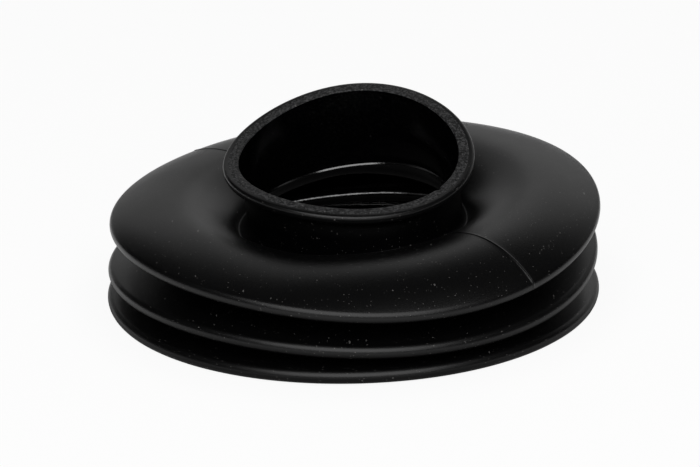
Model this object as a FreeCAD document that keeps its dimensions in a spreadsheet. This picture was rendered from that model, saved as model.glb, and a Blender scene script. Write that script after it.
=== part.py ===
import FreeCAD, Part
import math
import os

# Rubber bellows boot, moulded in one piece: a flat base lip, three round folds, a domed
# crown that rolls down into a valley, and a short leaning neck with a turned-out lip.
# Millimetres and degrees. Z is up, the open base rests on z = 0, and the origin is the
# middle of the base. The neck leans towards -Y, which is the front.

Vector = FreeCAD.Vector

os.makedirs("parts", exist_ok=True)
doc = FreeCAD.newDocument("bellows_boot")

# Driving sizes: alias, value, what it is
SIZES = [
    ("wall", 1.3, "moulded wall of the folds and the crown"),
    ("tip_radius", 1.6, "outer rounding at the tip of each fold"),
    ("base_fold_radius", 60.0, "outer radius of the base fold"),
    ("base_opening_radius", 50.0, "hole inside the base lip"),
    ("middle_fold_radius", 59.6, "outer radius of the middle fold"),
    ("middle_fold_height", 10.6, "middle fold's tip above the floor"),
    ("middle_tilt_back", 3.5, "how far the middle fold rises to the back"),
    ("middle_tilt_side", 2.1, "how far it rises to the right"),
    ("crown_radius", 59.3, "outer radius of the crown"),
    ("crown_height", 20.4, "crown's edge above the floor"),
    ("crown_shift_side", 0.7, "crown's middle, to the right of the base's"),
    ("crown_tilt_back", 4.7, "how far the crown rises to the back"),
    ("crown_tilt_side", 1.0, "how far it rises to the right"),
    ("lower_root_radius", 48.0, "radius at the bottom of the lower groove"),
    ("upper_root_radius", 44.0, "radius at the bottom of the upper groove"),
    ("root_bend", 0.9, "outer rounding at the bottom of each groove"),
    ("top_radius", 44.0, "distance of the crown's highest line from its middle"),
    ("top_height", 4.6, "height of that line above the middle of the crown's edge"),
    ("valley_height", -3.0, "valley round the neck, from the middle of the crown's edge"),
    ("neck_fillet", 3.0, "rounding between valley and neck"),
    ("neck_radius", 26.2, "outer radius of the neck's waist"),
    ("neck_length", 15.6, "from the top of that rounding to the rim's face"),
    ("neck_tilt_back", 14.3, "how far the rim rises to the back"),
    ("neck_tilt_side", 3.8, "how far it rises to the right"),
    ("neck_wall", 1.6, "moulded wall of the neck"),
    ("bore_ledge", 40.0, "where the wall under the valley turns square to the bore"),
    ("rim_radius", 30.15, "outer radius of the lip at the rim"),
    ("mouth_radius", 26.4, "inner edge of the rim's face"),
    ("mouth_depth", 3.0, "depth over which the mouth narrows to the bore"),
    ("lip_thickness", 1.8, "height of the lip's outer edge"),
    ("lip_rounding", 0.8, "rounding of the lip's two outer edges"),
    ("lip_flare", 3.0, "rounding from the waist out to the lip"),
]

sheet = doc.addObject("Spreadsheet::Sheet", "Sizes")
for row, (alias, value, note) in enumerate(SIZES, start=1):
    sheet.set(f"A{row}", note)
    sheet.set(f"B{row}", str(value))
    sheet.setAlias(f"B{row}", alias)
doc.recompute()


def size(alias):
    return float(getattr(sheet, alias))


def guide_ring(name, radius, placement):
    """A circle that carries the bends of one part of the boot."""
    ring = doc.addObject("Part::Circle", name)
    ring.setExpression("Radius", radius)
    ring.setExpression("Placement", placement)
    return ring


def tilted(side, height, tilt_side, tilt_back):
    """A place on the boot's own upright, shifted to the side and tilted."""
    return (f"placement(vector({side}; 0; {height});"
            f" rotationy(-({tilt_side})) * rotationx({tilt_back}))")


def along(distance):
    """A step along a ring's own axis."""
    return f"placement(vector(0; 0; {distance}); rotationx(0))"


def half(low, high):
    """Halfway between two sizes."""
    return f"({low} + {high}) / 2"


base_ring = guide_ring(
    "base_ring", "Sizes.base_fold_radius", tilted("0", "Sizes.tip_radius", "0", "0"))
middle_ring = guide_ring(
    "middle_ring", "Sizes.middle_fold_radius",
    tilted("0", "Sizes.middle_fold_height", "Sizes.middle_tilt_side", "Sizes.middle_tilt_back"))
crown_ring = guide_ring(
    "crown_ring", "Sizes.crown_radius",
    tilted("Sizes.crown_shift_side", "Sizes.crown_height",
           "Sizes.crown_tilt_side", "Sizes.crown_tilt_back"))
lower_root_ring = guide_ring(
    "lower_root_ring", "Sizes.lower_root_radius",
    tilted("0", half("Sizes.tip_radius", "Sizes.middle_fold_height"),
           "Sizes.middle_tilt_side / 2", "Sizes.middle_tilt_back / 2"))
upper_root_ring = guide_ring(
    "upper_root_ring", "Sizes.upper_root_radius",
    tilted("Sizes.crown_shift_side / 2", half("Sizes.middle_fold_height", "Sizes.crown_height"),
           half("Sizes.middle_tilt_side", "Sizes.crown_tilt_side"),
           half("Sizes.middle_tilt_back", "Sizes.crown_tilt_back")))

# The neck starts in the middle of the crown and leans on from there
collar_ring = guide_ring(
    "collar_ring", "Sizes.neck_radius",
    f"crown_ring.Placement * {along('Sizes.valley_height + Sizes.neck_fillet')}")
rim_ring = guide_ring(
    "rim_ring", "Sizes.rim_radius",
    "placement(collar_ring.Placement.Base;"
    " rotationy(-Sizes.neck_tilt_side) * rotationx(Sizes.neck_tilt_back))"
    f" * {along('Sizes.neck_length')}")
doc.recompute()


class Bend:
    """A round bend of the skin, turned about its ring's own axis.

    radius is positive where the skin bulges out and negative where it is hollow, so that
    the inside of the wall has the same centre and a radius smaller by the wall. start and
    end are the directions that the skin faces, in degrees from level, outwards.
    """

    def __init__(self, ring, across, height, radius, start=None, end=None):
        self.ring = ring
        self.across = across
        self.height = height
        self.radius = radius
        self.start = start
        self.end = end

    def level(self):
        return self.ring.Placement.Base.z + self.height

    def point(self, facing, inwards):
        reach = self.radius - inwards
        turn = math.radians(facing)
        return Vector(self.across + reach * math.cos(turn), 0, self.height + reach * math.sin(turn))

    def circle(self, facing, inwards):
        spot = self.point(facing, inwards)
        edge = Part.Circle(Vector(0, 0, spot.z), Vector(0, 0, 1), spot.x).toShape()
        return edge.transformed(self.ring.Placement.toMatrix())

    def band(self, inwards):
        middle = (self.start + self.end) / 2
        arc = Part.Arc(
            self.point(self.start, inwards), self.point(middle, inwards), self.point(self.end, inwards))
        face = arc.toShape().revolve(Vector(0, 0, 0), Vector(0, 0, 1), 360)
        return face.transformed(self.ring.Placement.toMatrix())


def flank_facing(lower, upper):
    """The direction that a straight flank faces when it touches both bends."""
    across = upper.across - lower.across
    rise = upper.level() - lower.level()
    lean = math.acos((lower.radius - upper.radius) / math.hypot(across, rise))
    return math.remainder(math.degrees(math.atan2(rise, across) - lean), 360)


def join(lower, upper):
    """Lets a flank leave the lower bend and meet the upper one without a corner."""
    facing = flank_facing(lower, upper)
    lower.end = facing
    upper.start = facing


def from_top(bend, across, height):
    """The arc that is level at the crown's highest line and runs straight into the bend."""
    away = bend.across - across
    rise = height - bend.height
    radius = (away ** 2 + rise ** 2 - bend.radius ** 2) / (2 * (rise - bend.radius))
    arc = Bend(bend.ring, across, height - radius, radius)
    facing = math.degrees(math.atan2(bend.height - arc.height, away))
    return arc, facing


def flank(lower, upper, inwards):
    """The straight stretch of wall between two bends."""
    if lower.ring is upper.ring:
        line = Part.makeLine(lower.point(lower.end, inwards), upper.point(upper.start, inwards))
        face = line.revolve(Vector(0, 0, 0), Vector(0, 0, 1), 360)
        return face.transformed(lower.ring.Placement.toMatrix())
    return Part.makeRuledSurface(
        lower.circle(lower.end, inwards), upper.circle(upper.start, inwards))


def share_edge(lower, upper, inwards):
    """Whether one bend goes straight over into the next, with no flank between them."""
    leave = lower.point(lower.end, inwards)
    arrive = upper.point(upper.start, inwards)
    return lower.ring is upper.ring and leave.isEqual(arrive, TOUCH)


def lid(bend, facing, inwards):
    """A flat disc that closes the skin at one end of a bend."""
    return Part.Face(Part.Wire(bend.circle(facing, inwards)))


def skin_solid(bends, inwards):
    """The solid inside a skin that runs through the bends, closed flat at both ends."""
    faces = [lid(bends[0], bends[0].start, inwards), lid(bends[-1], bends[-1].end, inwards)]
    for bend in bends:
        faces.append(bend.band(inwards))
    for lower, upper in zip(bends, bends[1:]):
        if not share_edge(lower, upper, inwards):
            faces.append(flank(lower, upper, inwards))
    shell = Part.makeShell(faces)
    shell.sewShape()
    solid = Part.makeSolid(shell)
    if solid.Volume < 0:
        solid.reverse()
    return solid


# Points nearer than this are one point
TOUCH = 1e-6

DOWN = -90.0
OUT = 0.0
UP = 90.0


def fold_tip(ring):
    tip = size("tip_radius")
    return Bend(ring, ring.Radius.Value - tip, 0.0, tip)


def groove_root(ring):
    bend = size("root_bend")
    return Bend(ring, ring.Radius.Value + bend, 0.0, -bend)


# The bends, from the base upwards
base_tip = fold_tip(base_ring)
base_tip.start = DOWN
lower_root = groove_root(lower_root_ring)
middle_tip = fold_tip(middle_ring)
upper_root = groove_root(upper_root_ring)
crown_tip = fold_tip(crown_ring)

valley = Bend(
    crown_ring, size("neck_radius") + size("neck_fillet"),
    size("valley_height") + size("neck_fillet"), -size("neck_fillet"), end=OUT)

# The crown's two arcs meet level at its highest line
dome, crown_tip.end = from_top(crown_tip, size("top_radius"), size("top_height"))
dome.start = crown_tip.end
dome.end = UP
shoulder, valley.start = from_top(valley, size("top_radius"), size("top_height"))
shoulder.start = UP
shoulder.end = valley.start

flare = Bend(
    rim_ring, size("neck_radius") + size("lip_flare"),
    -size("lip_thickness") - size("lip_flare"), -size("lip_flare"), OUT, DOWN)
lip_inset = size("rim_radius") - size("lip_rounding")
lip_under = Bend(
    rim_ring, lip_inset, size("lip_rounding") - size("lip_thickness"), size("lip_rounding"), DOWN, OUT)
lip_top = Bend(rim_ring, lip_inset, -size("lip_rounding"), size("lip_rounding"), OUT, UP)

join(base_tip, lower_root)
join(lower_root, middle_tip)
join(middle_tip, upper_root)
join(upper_root, crown_tip)

folds = [base_tip, lower_root, middle_tip, upper_root, crown_tip, dome, shoulder]

outer_form = doc.addObject("Part::Feature", "outer_form")
outer_form.Shape = skin_solid(folds + [valley, flare, lip_under, lip_top], 0.0)

# The inside follows the same bends at the wall's distance, round under the valley
under_valley = Bend(
    crown_ring, valley.across, valley.height, valley.radius, valley.start, size("bore_ledge"))
cavity = doc.addObject("Part::Feature", "cavity")
cavity.Shape = skin_solid(folds + [under_valley], size("wall"))

base_opening = doc.addObject("Part::Cylinder", "base_opening")
base_opening.setExpression("Radius", "Sizes.base_opening_radius")
base_opening.setExpression("Height", "Sizes.wall + Sizes.tip_radius")
base_opening.setExpression("Placement.Base.z", "-Sizes.tip_radius")

# The neck's bore runs square to the rim, from above the lip down through the open cavity
neck_bore = doc.addObject("Part::Cylinder", "neck_bore")
neck_bore.setExpression("Radius", "Sizes.neck_radius - Sizes.neck_wall")
neck_bore.setExpression(
    "Height", "Sizes.crown_height + Sizes.neck_length + Sizes.lip_thickness")
neck_bore.setExpression(
    "Placement",
    f"rim_ring.Placement * {along('-(Sizes.crown_height + Sizes.neck_length)')}")

mouth = doc.addObject("Part::Cone", "mouth")
mouth.setExpression("Radius1", "neck_bore.Radius")
mouth.setExpression("Radius2", "Sizes.mouth_radius")
mouth.setExpression("Height", "Sizes.mouth_depth")
mouth.setExpression("Placement", f"rim_ring.Placement * {along('-Sizes.mouth_depth')}")

hollow = doc.addObject("Part::MultiFuse", "hollow")
hollow.Shapes = [cavity, base_opening, neck_bore, mouth]

boot = doc.addObject("Part::Cut", "boot")
boot.Base = outer_form
boot.Tool = hollow
boot.Label = "bellows_boot"
doc.recompute()

for item in doc.Objects:
    if "Invalid" in item.State or "Error" in item.State:
        raise RuntimeError(f"{item.Label} did not build: {item.State}")
    if hasattr(item, "Shape") and (item.Shape.isNull() or not item.Shape.isValid()):
        raise RuntimeError(f"{item.Label} has a bad shape")

if len(boot.Shape.Solids) != 1:
    raise RuntimeError("the boot is not one solid")

boot.Shape.exportStep(f"parts/{boot.Label}.step")
print(boot.Label, "volume mm3", round(boot.Shape.Volume, 1), "box", boot.Shape.BoundBox)
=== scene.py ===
import math

import bpy
import numpy as np
from mathutils import Matrix, Vector


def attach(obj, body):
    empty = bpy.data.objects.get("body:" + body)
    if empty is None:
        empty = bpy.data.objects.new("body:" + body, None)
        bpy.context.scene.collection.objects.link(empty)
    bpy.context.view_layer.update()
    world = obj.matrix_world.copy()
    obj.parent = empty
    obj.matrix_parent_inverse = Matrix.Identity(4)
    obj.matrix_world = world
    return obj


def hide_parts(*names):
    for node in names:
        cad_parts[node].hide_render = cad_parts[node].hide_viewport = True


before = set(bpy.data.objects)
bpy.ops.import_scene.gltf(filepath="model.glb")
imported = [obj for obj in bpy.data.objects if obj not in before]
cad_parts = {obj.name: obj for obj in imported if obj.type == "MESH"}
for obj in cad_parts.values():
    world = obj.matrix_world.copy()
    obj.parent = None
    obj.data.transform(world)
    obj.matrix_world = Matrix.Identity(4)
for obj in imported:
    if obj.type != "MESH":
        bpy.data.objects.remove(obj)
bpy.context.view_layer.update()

# The rubber bellows boot as the photograph shows it: the moulded skin with its sagging folds,
# mould flashes, trimmed rim and dust, on a plain pale floor. Sizes are millimetres and degrees
# in the frame of the CAD model, and become metres where a mesh, lamp or camera is made.
MM = 0.001

# Sizes shared with the solid
WALL = 1.3
TIP = 1.6
BASE_RADIUS = 60.0
OPENING_RADIUS = 50.0
MIDDLE_RADIUS = 59.6
CROWN_RADIUS = 59.3
LOWER_ROOT_RADIUS = 48.0
UPPER_ROOT_RADIUS = 44.0
ROOT_BEND = 0.9
TOP_RADIUS = 44.0
NECK_RADIUS = 26.2
BORE_RADIUS = 24.6
MOUTH_RADIUS = 26.4
LIP_ROUNDING = 0.8
LIP_FLARE = 3.0

# Sizes in which this skin differs from the solid
RIM_RADIUS = 30.2
LIP_THICKNESS = 2.3
MOUTH_DEPTH = 11.0
VALLEY_BEND = 0.35
FOOT_FACING = math.radians(60)
EDGE_ROUNDING = 0.25
OPENING_ROUNDING = 0.3

# Directions that the skin can face, from level outwards
DOWN = -math.pi / 2
OUT = 0.0
UP = math.pi / 2

# The mould's flash runs up the crown at two turns. Its profile gives, for degrees to the side,
# the share of its height. The mesh has closer columns there.
FLASH_TURNS = (math.radians(-48.5), math.radians(135.0))
FLASH_HEIGHT = 0.16
FLASH_PROFILE = {-0.55: 0.0, -0.32: 0.12, -0.16: 0.7, 0.0: 1.0, 0.16: 0.7, 0.32: 0.12, 0.55: 0.0}
FLASH_CLEAR = math.radians(0.75)
COLUMNS = 352

# The rim's inner edge, row by row: how far outside the mouth's radius and how high over the rim
# it stands, and what the small nick at the front right adds to both
NICK_TURN = math.radians(-39)
NICK_WIDTH = math.radians(1.3)
MOUTH_EDGE = (
    ((EDGE_ROUNDING, 0.0), (0.5, -0.3)),
    ((0.08, -0.08), (0.6, -0.5)),
    ((0.0, -EDGE_ROUNDING), (0.3, -0.5)),
    ((-0.01, -0.35), (0.0, -0.6)),
)

# The ridge that the mould's core left at the foot of the bore: how far it stands in, and how high
SEAM_PROFILE = ((0.0, 0.75), (0.05, 0.55), (0.28, 0.3), (0.28, 0.2), (0.05, 0.1))

# all_round works in half degrees and keeps about this many waves round
COARSE_STEPS = 720
KEPT_WAVES = 9.0

# Rows of the mesh that lie closer together than this are one row
TOUCHING = 1e-6


def columns_around():
    """Azimuth of every column of the mesh, and how much flash it carries, from 0 to 1."""
    turns = {}
    for column in range(COLUMNS):
        turn = -math.pi + 2 * math.pi * column / COLUMNS
        if all(abs(turn - flash) > FLASH_CLEAR for flash in FLASH_TURNS):
            turns[turn] = 0.0
    for flash in FLASH_TURNS:
        for offset, share in FLASH_PROFILE.items():
            turns[flash + math.radians(offset)] = share
    ordered = sorted(turns)
    return np.array(ordered), np.array([turns[turn] for turn in ordered])


AROUND, FLASH = columns_around()
COS = np.cos(AROUND)
SIN = np.sin(AROUND)


class Ring:
    """A guide that runs round the boot: a circle, tilted and sagging, as the rubber stands.

    tilt_side lifts its right side and tilt_back its back. waves gives the sag as (times round,
    cosine part, sine part), and fade says how it dies out towards the ring's own axis. lean is
    how far the ring's own outward direction rises at each column.
    """

    def __init__(self, centre, radius, tilt_side, tilt_back, waves=(), fade=2.0):
        side = Matrix.Rotation(-math.radians(tilt_side), 3, "Y")
        back = Matrix.Rotation(math.radians(tilt_back), 3, "X")
        self.centre = np.array(centre)
        self.radius = radius
        self.turn = np.array(side @ back)
        self.fade = fade
        self.wave = sum((c * np.cos(k * AROUND) + s * np.sin(k * AROUND) for k, c, s in waves),
                        np.zeros_like(AROUND))
        outward = np.stack([COS, SIN, np.zeros_like(COS)], axis=-1) @ self.turn.T
        self.lean = np.arcsin(outward[:, 2]) + fade * self.wave / radius

    def place(self, across, height):
        """Points at a distance from the ring's axis and a height over its plane, all round."""
        across = across + np.zeros_like(AROUND)
        lift = height + self.wave * (across / self.radius) ** self.fade
        return np.stack([across * COS, across * SIN, lift], axis=-1) @ self.turn.T + self.centre


class Bend:
    """A round bend of the skin on its ring, hollow where the radius is negative.

    start and end are the directions that the skin faces, from level outwards, at each column.
    flash is the share of the mould's flash that stands on the bend at its start and its end.
    """

    def __init__(self, ring, across, height, radius, steps, start=None, end=None):
        self.ring = ring
        self.across = across
        self.height = height
        self.radius = radius
        self.steps = steps
        self.start = start
        self.end = end
        self.flash = (0.0, 0.0)

    def middle(self):
        """The centre of the bend, all round."""
        return self.ring.place(self.across, self.height)

    def point(self, facing, inwards):
        """The skin where it faces one way, all round, inwards of its outer side."""
        own = facing - self.ring.lean
        reach = self.radius - inwards
        return self.ring.place(self.across + reach * np.cos(own), self.height + reach * np.sin(own))

    def rows(self, inwards, flash=0.0):
        """The bend's points from start to end, a mould flash standing proud of the skin."""
        made = []
        first, last = self.flash
        for step in range(self.steps + 1):
            share = step / self.steps
            facing = self.start + (self.end - self.start) * share
            proud = flash * (first + (last - first) * share)
            made.append(self.point(facing, inwards - proud))
        return made


def join(lower, upper):
    """Lets a straight flank leave the lower bend and meet the upper one, at every column."""
    step = upper.middle() - lower.middle()
    out = step[:, 0] * COS + step[:, 1] * SIN
    rise = step[:, 2]
    facing = np.arctan2(rise, out) - np.arccos((lower.radius - upper.radius) / np.hypot(out, rise))
    facing = (facing + math.pi) % (2 * math.pi) - math.pi
    lower.end = facing
    upper.start = facing


def from_top(bend, across, height, steps):
    """The arc that is level at the crown's highest line and runs straight into the bend."""
    away = bend.across - across
    rise = height - bend.height
    radius = (away ** 2 + rise ** 2 - bend.radius ** 2) / (2 * (rise - bend.radius))
    arc = Bend(bend.ring, across, height - radius, radius, steps)
    return arc, np.arctan2(bend.height - arc.height, away) + bend.ring.lean


def all_round(values):
    """A smooth value at every column from (degrees, value) pairs that start at -180."""
    turns, heights = zip(*values)
    coarse = np.linspace(-math.pi, math.pi, COARSE_STEPS, endpoint=False)
    filled = np.interp(coarse, np.radians(turns), heights, period=2 * math.pi)
    waves = np.fft.rfft(filled)
    waves *= np.exp(-(np.arange(len(waves)) / KEPT_WAVES) ** 2)
    return np.interp(AROUND, coarse, np.fft.irfft(waves, len(coarse)), period=2 * math.pi)


def between(first, last, count):
    """count rows spread evenly between two rows, without either."""
    return [first + (last - first) * (step + 1) / (count + 1) for step in range(count)]


# The rings, as the photograph shows them: each fold rises to the back and to the right
base_ring = Ring((0, 0, TIP), BASE_RADIUS, tilt_side=0.0, tilt_back=0.0)
lower_root_ring = Ring((0, 0, 6.1), LOWER_ROOT_RADIUS, tilt_side=1.05, tilt_back=1.75,
                       waves=[(2, -0.1, 0.9)])
middle_ring = Ring((0, 0, 10.55), MIDDLE_RADIUS, tilt_side=2.07, tilt_back=3.53,
                   waves=[(2, -0.2, 2.4)])
upper_root_ring = Ring((0.35, 0, 15.5), UPPER_ROOT_RADIUS, tilt_side=1.55, tilt_back=4.1,
                       waves=[(2, 0.2, 1.1)])
crown_ring = Ring((0.73, 0, 20.74), CROWN_RADIUS, tilt_side=1.05, tilt_back=4.5,
                  waves=[(2, 0.81, 1.51), (3, 0.52, -0.15)])
rim_ring = Ring((-0.53, -2.6, 35.88), RIM_RADIUS, tilt_side=2.1, tilt_back=14.75,
                waves=[(2, -1.11, 1.21), (3, 0.07, -0.17)], fade=0.0)

# The base fold is pressed out a little at the two front corners
BASE_SPREAD = all_round([
    (-180, 0.0), (-160, 0.25), (-140, 0.5), (-115, 0.3), (-90, 0.0), (-65, 0.3), (-40, 0.5),
    (-20, 0.3), (0, 0.0), (90, 0.0)])
base_tip = Bend(base_ring, BASE_RADIUS + BASE_SPREAD - TIP, 0.0, TIP, steps=12,
                start=DOWN + 0 * AROUND)
lower_root = Bend(lower_root_ring, LOWER_ROOT_RADIUS + ROOT_BEND, 0.0, -ROOT_BEND, steps=8)
middle_tip = Bend(middle_ring, MIDDLE_RADIUS - TIP, 0.0, TIP, steps=14)
upper_root = Bend(upper_root_ring, UPPER_ROOT_RADIUS + ROOT_BEND, 0.0, -ROOT_BEND, steps=8)
crown_tip = Bend(crown_ring, CROWN_RADIUS - TIP, 0.0, TIP, steps=14)

# Heights over the crown's ring, and the fillet at the neck's foot. The crown stands highest at
# the front right, where the leaning neck squeezes it, and the valley is deepest at the left.
TOP_HEIGHT = all_round([
    (-180, 4.6), (-150, 5.0), (-131, 4.8), (-118, 4.0), (-108, 4.0), (-98, 4.9), (-87, 5.4),
    (-70, 5.8), (-48, 6.4), (-20, 6.0), (10, 5.2), (45, 4.4), (90, 4.0), (132, 4.0), (160, 4.3)])
VALLEY_HEIGHT = all_round([
    (-180, -4.6), (-150, -4.5), (-130, -3.9), (-112, -2.3), (-97, -1.1), (-77, -0.6), (-55, -0.1),
    (-40, -1.2), (-20, -3.6), (10, -4.0), (45, -1.8), (90, -0.6), (130, -3.0), (155, -4.2)])
FOOT_BEND = all_round([
    (-180, 4.0), (-145, 3.4), (-118, 1.3), (-97, 0.85), (-55, 0.85), (-35, 1.4), (-10, 1.8),
    (30, 1.8), (90, 1.0), (140, 2.6)])
foot = Bend(crown_ring, NECK_RADIUS + FOOT_BEND, VALLEY_HEIGHT + FOOT_BEND, -FOOT_BEND, steps=8,
            start=FOOT_FACING + crown_ring.lean)
valley = Bend(crown_ring, foot.across - (FOOT_BEND - VALLEY_BEND) * math.cos(FOOT_FACING),
              foot.height - (FOOT_BEND - VALLEY_BEND) * math.sin(FOOT_FACING), -VALLEY_BEND,
              steps=8, end=FOOT_FACING + crown_ring.lean)
dome, crown_tip.end = from_top(crown_tip, TOP_RADIUS, TOP_HEIGHT, steps=16)
dome.start = crown_tip.end
dome.end = UP + crown_ring.lean
shoulder, valley.start = from_top(valley, TOP_RADIUS, TOP_HEIGHT, steps=16)
shoulder.start = dome.end
shoulder.end = valley.start

flare = Bend(rim_ring, NECK_RADIUS + LIP_FLARE, -LIP_THICKNESS - LIP_FLARE, -LIP_FLARE, steps=8,
             end=DOWN + rim_ring.lean)
LIP_ACROSS = RIM_RADIUS - LIP_ROUNDING
lip_under = Bend(rim_ring, LIP_ACROSS, LIP_ROUNDING - LIP_THICKNESS, LIP_ROUNDING, steps=6,
                 start=DOWN + rim_ring.lean, end=OUT + rim_ring.lean)
lip_top = Bend(rim_ring, LIP_ACROSS, -LIP_ROUNDING, LIP_ROUNDING, steps=6,
               start=OUT + rim_ring.lean, end=UP + rim_ring.lean)

join(base_tip, lower_root)
join(lower_root, middle_tip)
join(middle_tip, upper_root)
join(upper_root, crown_tip)
join(foot, flare)

# The core's ridge runs round the bore, higher at the right
SEAM_RISE = all_round([(-180, 0.0), (0, 0.4), (30, 2.0), (60, 1.6), (90, 0.2), (120, 0.0)])

# The mould's flash is left on the crown only, and dies out on its tip and towards the valley
crown_tip.flash = (0.0, 1.0)
dome.flash = (1.0, 1.0)
shoulder.flash = (1.0, 0.0)

FOLDS = [base_tip, lower_root, middle_tip, upper_root, crown_tip, dome, shoulder, valley, foot]


def chain(stretches, flank_rows):
    """One run of rows from stretches that touch, or that straight flanks join."""
    made = []
    for rows in stretches:
        if made and np.abs(rows[0] - made[-1]).max() < TOUCHING:
            rows = rows[1:]
        elif made:
            made.extend(between(made[-1], rows[0], flank_rows))
        made.extend(rows)
    return made


def outer_rows():
    """The outside, from the edge of the base opening over the folds and up to the rim."""
    first = base_ring.place(OPENING_RADIUS + OPENING_ROUNDING, -TIP)
    underside = [first] + between(first, base_tip.point(base_tip.start, 0.0), 3)
    bends = FOLDS + [flare, lip_under, lip_top]
    return underside + chain([bend.rows(0.0, FLASH * FLASH_HEIGHT) for bend in bends], flank_rows=4)


def rim_rows():
    """The trimmed face of the rim and its inner edge with the nick."""
    face = between(rim_ring.place(LIP_ACROSS, 0.0),
                   rim_ring.place(MOUTH_RADIUS + EDGE_ROUNDING, 0.0), 4)
    nick = np.exp(-((AROUND - NICK_TURN) / NICK_WIDTH) ** 2)
    edge = [rim_ring.place(MOUTH_RADIUS + across + more_across * nick, height + more_height * nick)
            for (across, height), (more_across, more_height) in MOUTH_EDGE]
    return face + edge


def bore_rows(mouth):
    """The inside of the neck, from the last row of the mouth down past the core's ridge."""
    throat = rim_ring.place(BORE_RADIUS, -MOUTH_DEPTH)
    seam = [crown_ring.place(NECK_RADIUS - WALL - inset, foot.height + SEAM_RISE + height)
            for inset, height in SEAM_PROFILE]
    return between(mouth, throat, 5) + [throat] + between(throat, seam[0], 3) + seam


def inner_rows():
    """The inside of the folds, one wall inwards, and the edge of the base opening."""
    folds = chain([bend.rows(WALL)[::-2] for bend in reversed(FOLDS)], flank_rows=2)
    edge = [
        base_ring.place(OPENING_RADIUS + OPENING_ROUNDING, WALL - TIP),
        base_ring.place(OPENING_RADIUS, WALL - TIP - OPENING_ROUNDING),
        base_ring.place(OPENING_RADIUS, OPENING_ROUNDING - TIP),
    ]
    return folds + edge


def boot_rows():
    """The whole closed section at every column, and the rows where the rim and bore begin."""
    outer = outer_rows()
    rim = rim_rows()
    rows = outer + rim + bore_rows(rim[-1]) + inner_rows()
    return np.array(rows), len(outer), len(outer) + len(rim)


def closed_mesh(name, rows):
    """A mesh from rows of points, closed round the boot and round its section."""
    row_count, column_count, _ = rows.shape
    index = np.arange(row_count * column_count).reshape(row_count, column_count)
    ahead = np.roll(index, -1, axis=0)
    beside = np.roll(index, -1, axis=1)
    corner = np.roll(ahead, -1, axis=1)
    faces = np.stack([index, beside, corner, ahead], axis=-1).reshape(-1, 4)
    mesh = bpy.data.meshes.new(name)
    mesh.from_pydata((rows.reshape(-1, 3) * MM).tolist(), [], faces.tolist())
    mesh.validate()
    return mesh


RUBBER = (0.0008, 0.0008, 0.0009, 1.0)
INNER_RUBBER = (0.0004, 0.0004, 0.0005, 1.0)
CUT_DARK = (0.002, 0.002, 0.0022, 1.0)
CUT_PALE = (0.05, 0.05, 0.051, 1.0)
DUST = (0.16, 0.155, 0.15, 1.0)


class Nodes:
    """Short calls to add and link a material's nodes."""

    def __init__(self, name):
        self.material = bpy.data.materials.new(name)
        self.material.use_nodes = True
        self.tree = self.material.node_tree
        self.tree.nodes.clear()
        self.coordinates = self.add("ShaderNodeTexCoord").outputs["Object"]

    def add(self, kind, inputs=None, **settings):
        """Adds a node. Each input is a socket to link from, or a value."""
        node = self.tree.nodes.new(kind)
        for key, value in settings.items():
            setattr(node, key, value)
        for key, value in (inputs or {}).items():
            if isinstance(value, bpy.types.NodeSocket):
                self.tree.links.new(value, node.inputs[key])
            else:
                node.inputs[key].default_value = value
        return node

    def maths(self, operation, first, second):
        return self.add("ShaderNodeMath", {0: first, 1: second}, operation=operation).outputs[0]

    def from_to(self, share, low, high):
        """low where share is 0, high where it is 1."""
        return self.maths("ADD", low, self.maths("MULTIPLY", share, high - low))

    def ramp(self, value, low, high):
        """0 below low, 1 above high, smooth between."""
        node = self.add("ShaderNodeMapRange", {"Value": value, "From Min": low, "From Max": high},
                        interpolation_type="SMOOTHSTEP")
        return node.outputs["Result"]

    def ramp_mm(self, length, low, high):
        """The same for a length, with its limits in millimetres."""
        return self.ramp(length, low * MM, high * MM)

    def length(self, vector):
        return self.add("ShaderNodeVectorMath", {0: vector}, operation="LENGTH").outputs["Value"]

    def noise(self, size, detail, roughness=0.5):
        """Noise whose features are about size millimetres across."""
        node = self.add("ShaderNodeTexNoise", {
            "Vector": self.coordinates, "Scale": 1 / (size * MM), "Detail": detail,
            "Roughness": roughness})
        return node.outputs["Fac"]

    def specks(self, spacing, radius, share, stretch=(1.0, 1.0, 1.0), turn=(0.0, 0.0, 0.0)):
        """Scattered specks: 1 on a speck and 0 off it. share is how many places hold one."""
        mapped = self.add("ShaderNodeMapping", {
            "Vector": self.coordinates, "Scale": stretch,
            "Rotation": tuple(math.radians(angle) for angle in turn)}).outputs["Vector"]
        cells = self.add("ShaderNodeTexVoronoi", {"Vector": mapped, "Scale": 1 / (spacing * MM)})
        chance = self.add("ShaderNodeSeparateColor", {"Color": cells.outputs["Color"]})
        present = self.maths("LESS_THAN", chance.outputs["Red"], share)
        reach = self.maths("MULTIPLY", chance.outputs["Green"], radius / spacing)
        inside = self.maths("LESS_THAN", cells.outputs["Distance"], reach)
        return self.maths("MULTIPLY", present, inside)

    def mix(self, share, first, second):
        """The first colour where share is 0, the second where it is 1."""
        node = self.add("ShaderNodeMix", {"Factor": share, "A": first, "B": second},
                        data_type="RGBA")
        return node.outputs["Result"]

    def dusted(self, colour, marks, strength):
        """The colour with some dust on its marks."""
        return self.mix(self.maths("MULTIPLY", marks, strength), colour, DUST)

    def surface(self, inputs, grain, depth):
        """Ends the material in a shader with these inputs and a relief depth millimetres high."""
        relief = self.add("ShaderNodeBump", {"Height": grain, "Distance": depth * MM})
        shader = self.add("ShaderNodeBsdfPrincipled", inputs)
        self.tree.links.new(relief.outputs["Normal"], shader.inputs["Normal"])
        self.finish(shader)

    def finish(self, shader):
        self.add("ShaderNodeOutputMaterial", {"Surface": shader.outputs[0]})


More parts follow.
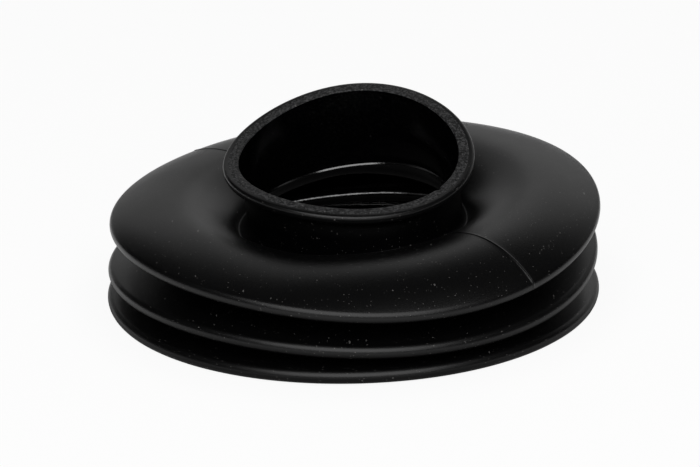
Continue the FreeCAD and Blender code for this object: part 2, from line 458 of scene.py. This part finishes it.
# Painted shade: the moulded skin's gloss is turned down in the corner at the neck's foot, which
# dims its reflections there. Its gloss comes back from the first to the second of these distances
# from the axis, and of these heights.
SHADED_CORNER_ACROSS = (28.5, 30.5)
SHADED_CORNER_HEIGHT = (21.0, 25.0)


def moulded_material():
    """Satin moulded rubber with dust specks and short light scratches."""
    nodes = Nodes("moulded_skin")
    dots = nodes.specks(spacing=1.2, radius=0.17, share=0.35)
    fine = nodes.specks(spacing=0.6, radius=0.12, share=0.4)
    hairs = nodes.specks(spacing=2.4, radius=0.2, share=0.7, stretch=(1.0, 0.2, 1.0),
                         turn=(0, 0, 35))
    marks = nodes.maths("MAXIMUM", dots, nodes.maths("MAXIMUM", fine, hairs))
    colour = nodes.dusted(RUBBER, marks, strength=0.5)
    roughness = nodes.from_to(nodes.noise(size=14.0, detail=3.0), low=0.3, high=0.38)
    axes = nodes.add("ShaderNodeSeparateXYZ", {"Vector": nodes.coordinates}).outputs
    flat = nodes.add("ShaderNodeCombineXYZ", {"X": axes["X"], "Y": axes["Y"]}).outputs[0]
    # painted shade: less gloss in the corner at the neck's foot, so that its reflections there are
    # dim
    out_of_painted_shade = nodes.maths("MAXIMUM", nodes.ramp_mm(nodes.length(flat), *SHADED_CORNER_ACROSS),
                                nodes.ramp_mm(axes["Z"], *SHADED_CORNER_HEIGHT))
    gloss = nodes.from_to(out_of_painted_shade, low=0.07, high=0.3)
    grain = nodes.noise(size=0.45, detail=4.0, roughness=0.7)
    nodes.surface({"Base Color": colour, "Roughness": roughness, "Specular IOR Level": gloss},
                  grain, depth=0.02)
    return nodes.material


def trimmed_material():
    """The rim's face where the moulding was cut off: duller, with a rough grain."""
    nodes = Nodes("trimmed_face")
    grain = nodes.noise(size=0.6, detail=3.0, roughness=0.7)
    dots = nodes.specks(spacing=0.8, radius=0.22, share=0.5)
    shade = nodes.mix(nodes.ramp(grain, low=0.44, high=0.62), CUT_DARK, CUT_PALE)
    colour = nodes.dusted(shade, dots, strength=0.5)
    nodes.surface({"Base Color": colour, "Roughness": 0.6, "Specular IOR Level": 0.3},
                  grain, depth=0.3)
    return nodes.material


def inside_material():
    """The inside of the neck and folds: patchy, glossier than the outside, with faint dust."""
    nodes = Nodes("inner_skin")
    dots = nodes.specks(spacing=2.4, radius=0.4, share=0.3)
    colour = nodes.dusted(INNER_RUBBER, dots, strength=0.05)
    grain = nodes.noise(size=0.6, detail=3.0, roughness=0.7)
    polish = nodes.from_to(nodes.ramp(grain, low=0.42, high=0.6), low=0.05, high=0.2)
    nodes.surface({"Base Color": colour, "Roughness": polish, "Specular IOR Level": 1.0},
                  grain, depth=0.03)
    return nodes.material


def make_boot():
    """The one moulded piece, in three finishes: moulded outside, trimmed rim and inside."""
    rows, rim_start, bore_start = boot_rows()
    mesh = closed_mesh("boot_skin", rows)
    for material in (moulded_material(), trimmed_material(), inside_material()):
        mesh.materials.append(material)
    finishes = np.zeros(len(rows), dtype=int)
    finishes[rim_start:bore_start] = 1
    finishes[bore_start - 1:] = 2
    mesh.polygons.foreach_set("material_index", np.repeat(finishes, len(AROUND)))
    mesh.polygons.foreach_set("use_smooth", np.ones(len(mesh.polygons), dtype=bool))
    mesh.update()
    boot = bpy.data.objects.new("boot_skin", mesh)
    bpy.context.scene.collection.objects.link(boot)
    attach(boot, "root")
    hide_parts("bellows_boot")


# The camera stands where the photograph was taken from
TARGET = Vector((-0.51, 0.0, 13.92))
CAMERA_DISTANCE = 475.2
CAMERA_RISE = math.radians(19.56)
CAMERA_ROLL = math.radians(-1.30)
SENSOR_WIDTH = 36.0
FRAME_WIDTH = 700
FOCAL_PIXELS = 1945
NEAREST_SEEN = 10.0
FARTHEST_SEEN = 20000.0


def make_camera():
    """Looks along +Y and down, turned a little about its own view."""
    data = bpy.data.cameras.new("camera")
    data.sensor_fit = "HORIZONTAL"
    data.sensor_width = SENSOR_WIDTH
    data.lens = FOCAL_PIXELS * SENSOR_WIDTH / FRAME_WIDTH
    data.clip_start = NEAREST_SEEN * MM
    data.clip_end = FARTHEST_SEEN * MM
    back = Vector((0.0, -math.cos(CAMERA_RISE), math.sin(CAMERA_RISE)))
    level = Vector((0.0, math.sin(CAMERA_RISE), math.cos(CAMERA_RISE)))
    right = Vector((math.cos(CAMERA_ROLL), 0.0, 0.0)) + level * math.sin(CAMERA_ROLL)
    up = Vector((-math.sin(CAMERA_ROLL), 0.0, 0.0)) + level * math.cos(CAMERA_ROLL)
    camera = bpy.data.objects.new("camera", data)
    bpy.context.scene.collection.objects.link(camera)
    turn = Matrix((right, up, back)).transposed().to_4x4()
    camera.matrix_world = Matrix.Translation((TARGET + back * CAMERA_DISTANCE) * MM) @ turn
    bpy.context.scene.camera = camera


# The floor is white to the camera and to mirrors, and plain paper to the light. Under the boot
# the paper's colour is darkened as a painted shadow, so that light through the neck doesn't glow
# on the bore. These are the distances from the axis at which each part of that begins and is
# complete.
FLOOR_REACH = 6000.0
FLOOR_GAP = 0.05
FLOOR_WHITE = 0.94
WHITE_SEEN = (52.0, 60.0)
WHITE_MIRRORED = (60.0, 100.0)
PAINTED_SHADOW_FADES = (50.0, 75.0)
PAPER_PAINTED_SHADOW = (0.05, 0.05, 0.05, 1.0)
PAPER_PALE = (0.9, 0.9, 0.9, 1.0)
WHITE = (1.0, 1.0, 1.0, 1.0)
ROOM = 0.02


def floor_material():
    """Pale paper, mostly white where it is seen, which keeps the boot's shadow. Under the boot its
    colour is darkened as a painted shadow.
    """
    nodes = Nodes("floor")
    distance = nodes.length(nodes.coordinates)
    # painted shadow: the paper's colour darkens towards the axis under the boot
    shade = nodes.mix(nodes.ramp_mm(distance, *PAINTED_SHADOW_FADES), PAPER_PAINTED_SHADOW, PAPER_PALE)
    paper = nodes.add("ShaderNodeBsdfDiffuse", {"Color": shade})
    white = nodes.add("ShaderNodeEmission", {"Color": WHITE, "Strength": 1.0})
    path = nodes.add("ShaderNodeLightPath").outputs
    mirrored = nodes.maths("MAXIMUM", path["Is Glossy Ray"], path["Is Transmission Ray"])
    mirrored = nodes.maths("MULTIPLY", mirrored, nodes.ramp_mm(distance, *WHITE_MIRRORED))
    seen = nodes.maths("MULTIPLY", path["Is Camera Ray"], nodes.ramp_mm(distance, *WHITE_SEEN))
    share = nodes.maths("MULTIPLY", nodes.maths("MAXIMUM", seen, mirrored), FLOOR_WHITE)
    nodes.finish(nodes.add("ShaderNodeMixShader", {
        0: share, 1: paper.outputs[0], 2: white.outputs[0]}))
    return nodes.material


def make_floor():
    """A plain pale floor, a hair under the boot's base."""
    data = bpy.data.meshes.new("floor")
    reach = FLOOR_REACH * MM
    level = -FLOOR_GAP * MM
    corners = [(x * reach, y * reach, level) for x, y in ((-1, -1), (1, -1), (1, 1), (-1, 1))]
    data.from_pydata(corners, [], [(0, 1, 2, 3)])
    data.materials.append(floor_material())
    floor = bpy.data.objects.new("floor", data)
    bpy.context.scene.collection.objects.link(floor)


def make_world():
    """The dim, even room round the floor."""
    world = bpy.data.worlds.new("room")
    world.use_nodes = True
    background = world.node_tree.nodes["Background"]
    background.inputs["Color"].default_value = WHITE
    background.inputs["Strength"].default_value = ROOM
    bpy.context.scene.world = world


def soft_lamp(name, place, aim, width, height, radiance):
    """A soft lamp of one brightness all over, at a place and facing an aim, in millimetres."""
    data = bpy.data.lights.new(name, "AREA")
    data.shape = "RECTANGLE"
    data.size = width * MM
    data.size_y = height * MM
    data.energy = radiance * math.pi * data.size * data.size_y
    lamp = bpy.data.objects.new(name, data)
    bpy.context.scene.collection.objects.link(lamp)
    lamp.location = Vector(place) * MM
    lamp.rotation_mode = "QUATERNION"
    lamp.rotation_quaternion = (Vector(aim) - Vector(place)).to_track_quat("-Z", "Y")


def make_lamps():
    """A softbox over the front, and dim cards behind the boot, which its dark skin mirrors."""
    soft_lamp("softbox", place=(0, -740, 660), aim=(0, 0, 20),
              width=1200, height=1000, radiance=3.2)
    soft_lamp("low_back", place=(200, 1300, 290), aim=(200, 0, 290),
              width=2500, height=320, radiance=0.44)
    soft_lamp("high_back", place=(900, 1300, 950), aim=(900, 0, 950),
              width=3100, height=1000, radiance=0.36)
    soft_lamp("right_back", place=(450, 1280, 850), aim=(0, 0, 20),
              width=1000, height=700, radiance=0.3)


make_boot()
make_camera()
make_floor()
make_world()
make_lamps()

bpy.context.scene.view_settings.view_transform = "Standard"
